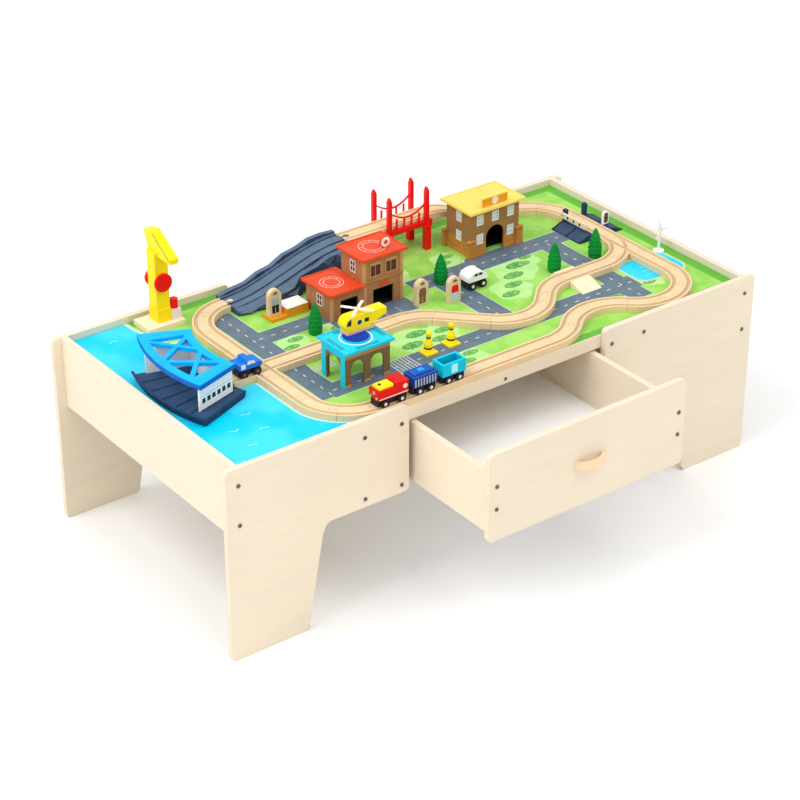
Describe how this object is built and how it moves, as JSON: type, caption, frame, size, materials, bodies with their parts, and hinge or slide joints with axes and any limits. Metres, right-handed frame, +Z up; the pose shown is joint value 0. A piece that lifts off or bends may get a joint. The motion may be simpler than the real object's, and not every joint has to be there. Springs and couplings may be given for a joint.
{
  "type": "train table",
  "caption": "Low plywood play table with a printed board, a wide drawer, and a wooden railway set with buildings, bridge, crane, ferry and vehicles.",
  "frame": {"origin": "on the floor, under the middle of the whole outline with the drawer open as in the picture", "axes": "+X along the table to the right as seen from the drawer, +Y from the drawer to the back, +Z up"},
  "size_m": [1.18, 0.8066, 0.548],
  "materials": {
    "plywood": "clear-lacquered birch plywood",
    "track_wood": "sanded beech",
    "board_print": "printed foil on fibreboard",
    "screw_steel": "dark zinc",
    "drawer_white": "white-coated hardboard",
    "handle_wood": "bent beech",
    "slate": "moulded, matt",
    "bridge_red": "moulded, glossy",
    "brick": "printed fibreboard",
    "roof_red": "painted fibreboard",
    "roof_yellow": "painted fibreboard",
    "roof_turquoise": "painted fibreboard",
    "yellow": "moulded, glossy",
    "white": "moulded, glossy",
    "ferry_blue": "moulded, glossy",
    "navy": "moulded, matt",
    "red": "painted, glossy",
    "green": "painted wood",
    "orange": "painted wood",
    "wagon_blue": "painted, glossy",
    "wagon_turquoise": "painted, glossy",
    "truck_blue": "painted, glossy",
    "wheel_black": "moulded, matt"
  },
  "bodies": {
    "table": {"front_left_leg": "plywood", "front_right_leg": "plywood", "back_left_leg": "plywood", "back_right_leg": "plywood", "end_panels": "plywood", "cross_panels": "plywood", "support_rails": "plywood", "play_board": "board_print", "frame_screws": "screw_steel", "straight_tracks": "track_wood", "curved_tracks": "track_wood", "junction_tracks": "track_wood", "high_tracks": "track_wood", "mountain_ramp": "slate", "bridge_frame": "bridge_red", "level_crossing": "slate", "road_ramps": "track_wood", "fire_station_walls": "brick", "fire_station_roofs": "roof_red", "town_hall_walls": "brick", "town_hall_roof": "roof_yellow", "heliport_walls": "brick", "heliport_roof": "roof_turquoise", "helicopter_body": "yellow", "ferry_hull": "navy", "ferry_walls": "white", "ferry_roof": "ferry_blue", "crane_base": "track_wood", "crane_tower": "yellow", "crane_load": "red", "trees": "green", "figures": "track_wood", "traffic_cones": "yellow", "platform": "orange", "turbine_mast": "white", "truck_body": "truck_blue", "car_body": "white"},
    "drawer": {"drawer_front": "plywood", "drawer_sides": "plywood", "drawer_back": "plywood", "drawer_bottom": "drawer_white", "drawer_handle": "handle_wood", "drawer_screws": "screw_steel"},
    "engine": {"engine_body": "red"},
    "box_wagon": {"box_wagon_body": "wagon_blue"},
    "open_wagon": {"open_wagon_body": "wagon_turquoise"},
    "rotor": {"helicopter_rotor": "white"},
    "winch": {"crane_winch": "red"},
    "turbine": {"turbine_rotor": "white"},
    "gate": {"crossing_gate": "track_wood"},
    "engine_front_wheels": {"engine_front_wheels": "wheel_black"},
    "engine_rear_wheels": {"engine_rear_wheels": "wheel_black"},
    "box_wagon_front_wheels": {"box_wagon_front_wheels": "wheel_black"},
    "box_wagon_rear_wheels": {"box_wagon_rear_wheels": "wheel_black"},
    "open_wagon_front_wheels": {"open_wagon_front_wheels": "wheel_black"},
    "open_wagon_rear_wheels": {"open_wagon_rear_wheels": "wheel_black"},
    "truck_front_wheels": {"truck_front_wheels": "wheel_black"},
    "truck_rear_wheels": {"truck_rear_wheels": "wheel_black"},
    "car_front_wheels": {"car_front_wheels": "wheel_black"},
    "car_rear_wheels": {"car_rear_wheels": "wheel_black"}
  },
  "joints": [
    {"name": "drawer_slide", "type": "slide", "parent": "table", "child": "drawer", "axis": [0, -1, 0], "range_m": [-0.2145, 0.085]},
    {"name": "engine_run", "type": "slide", "parent": "table", "child": "engine", "axis": [1, 0, 0], "range_m": [0, 0.2]},
    {"name": "box_wagon_run", "type": "slide", "parent": "table", "child": "box_wagon", "axis": [1, 0, 0], "range_m": [0, 0.2]},
    {"name": "open_wagon_run", "type": "slide", "parent": "table", "child": "open_wagon", "axis": [1, 0, 0], "range_m": [0, 0.2]},
    {"name": "rotor_spin", "type": "hinge", "parent": "table", "child": "rotor", "pos_m": [-0.19976, 0.00742, 0.475], "axis": [0, 0, 1], "continuous": true},
    {"name": "winch_turn", "type": "hinge", "parent": "table", "child": "winch", "pos_m": [-0.38808, 0.35481, 0.448], "axis": [0, 1, 0], "continuous": true},
    {"name": "turbine_spin", "type": "hinge", "parent": "table", "child": "turbine", "pos_m": [0.53088, 0.02827, 0.40875], "axis": [0, 1, 0], "continuous": true},
    {"name": "gate_lift", "type": "hinge", "parent": "table", "child": "gate", "pos_m": [0.4534, 0.22494, 0.385], "axis": [-1, 0, 0], "range_deg": [0, 85]},
    {"name": "engine_front_axle", "type": "hinge", "parent": "engine", "child": "engine_front_wheels", "pos_m": [-0.2558, -0.13475, 0.3773], "axis": [0, 1, 0], "continuous": true},
    {"name": "engine_rear_axle", "type": "hinge", "parent": "engine", "child": "engine_rear_wheels", "pos_m": [-0.2208, -0.13475, 0.3773], "axis": [0, 1, 0], "continuous": true},
    {"name": "box_wagon_front_axle", "type": "hinge", "parent": "box_wagon", "child": "box_wagon_front_wheels", "pos_m": [-0.1828, -0.13475, 0.3773], "axis": [0, 1, 0], "continuous": true},
    {"name": "box_wagon_rear_axle", "type": "hinge", "parent": "box_wagon", "child": "box_wagon_rear_wheels", "pos_m": [-0.1588, -0.13475, 0.3773], "axis": [0, 1, 0], "continuous": true},
    {"name": "open_wagon_front_axle", "type": "hinge", "parent": "open_wagon", "child": "open_wagon_front_wheels", "pos_m": [-0.1208, -0.13475, 0.3773], "axis": [0, 1, 0], "continuous": true},
    {"name": "open_wagon_rear_axle", "type": "hinge", "parent": "open_wagon", "child": "open_wagon_rear_wheels", "pos_m": [-0.0968, -0.13475, 0.3773], "axis": [0, 1, 0], "continuous": true},
    {"name": "truck_front_axle", "type": "hinge", "parent": "table", "child": "truck_front_wheels", "pos_m": [-0.3635, 0.09075, 0.3773], "axis": [0, 1, 0], "continuous": true},
    {"name": "truck_rear_axle", "type": "hinge", "parent": "table", "child": "truck_rear_wheels", "pos_m": [-0.3905, 0.09075, 0.3773], "axis": [0, 1, 0], "continuous": true},
    {"name": "car_front_axle", "type": "hinge", "parent": "table", "child": "car_front_wheels", "pos_m": [0.16762, 0.13067, 0.3683], "axis": [0, 1, 0], "continuous": true},
    {"name": "car_rear_axle", "type": "hinge", "parent": "table", "child": "car_rear_wheels", "pos_m": [0.14262, 0.13067, 0.3683], "axis": [0, 1, 0], "continuous": true}
  ],
  "couplings": [
    {"joint": "box_wagon_run", "follows": "engine_run", "ratio": 1},
    {"joint": "open_wagon_run", "follows": "engine_run", "ratio": 1},
    {"joint": "engine_front_axle", "follows": "engine_run", "rad_per_m": 125},
    {"joint": "engine_rear_axle", "follows": "engine_run", "rad_per_m": 125},
    {"joint": "box_wagon_front_axle", "follows": "engine_run", "rad_per_m": 125},
    {"joint": "box_wagon_rear_axle", "follows": "engine_run", "rad_per_m": 125},
    {"joint": "open_wagon_front_axle", "follows": "engine_run", "rad_per_m": 125},
    {"joint": "open_wagon_rear_axle", "follows": "engine_run", "rad_per_m": 125}
  ]
}
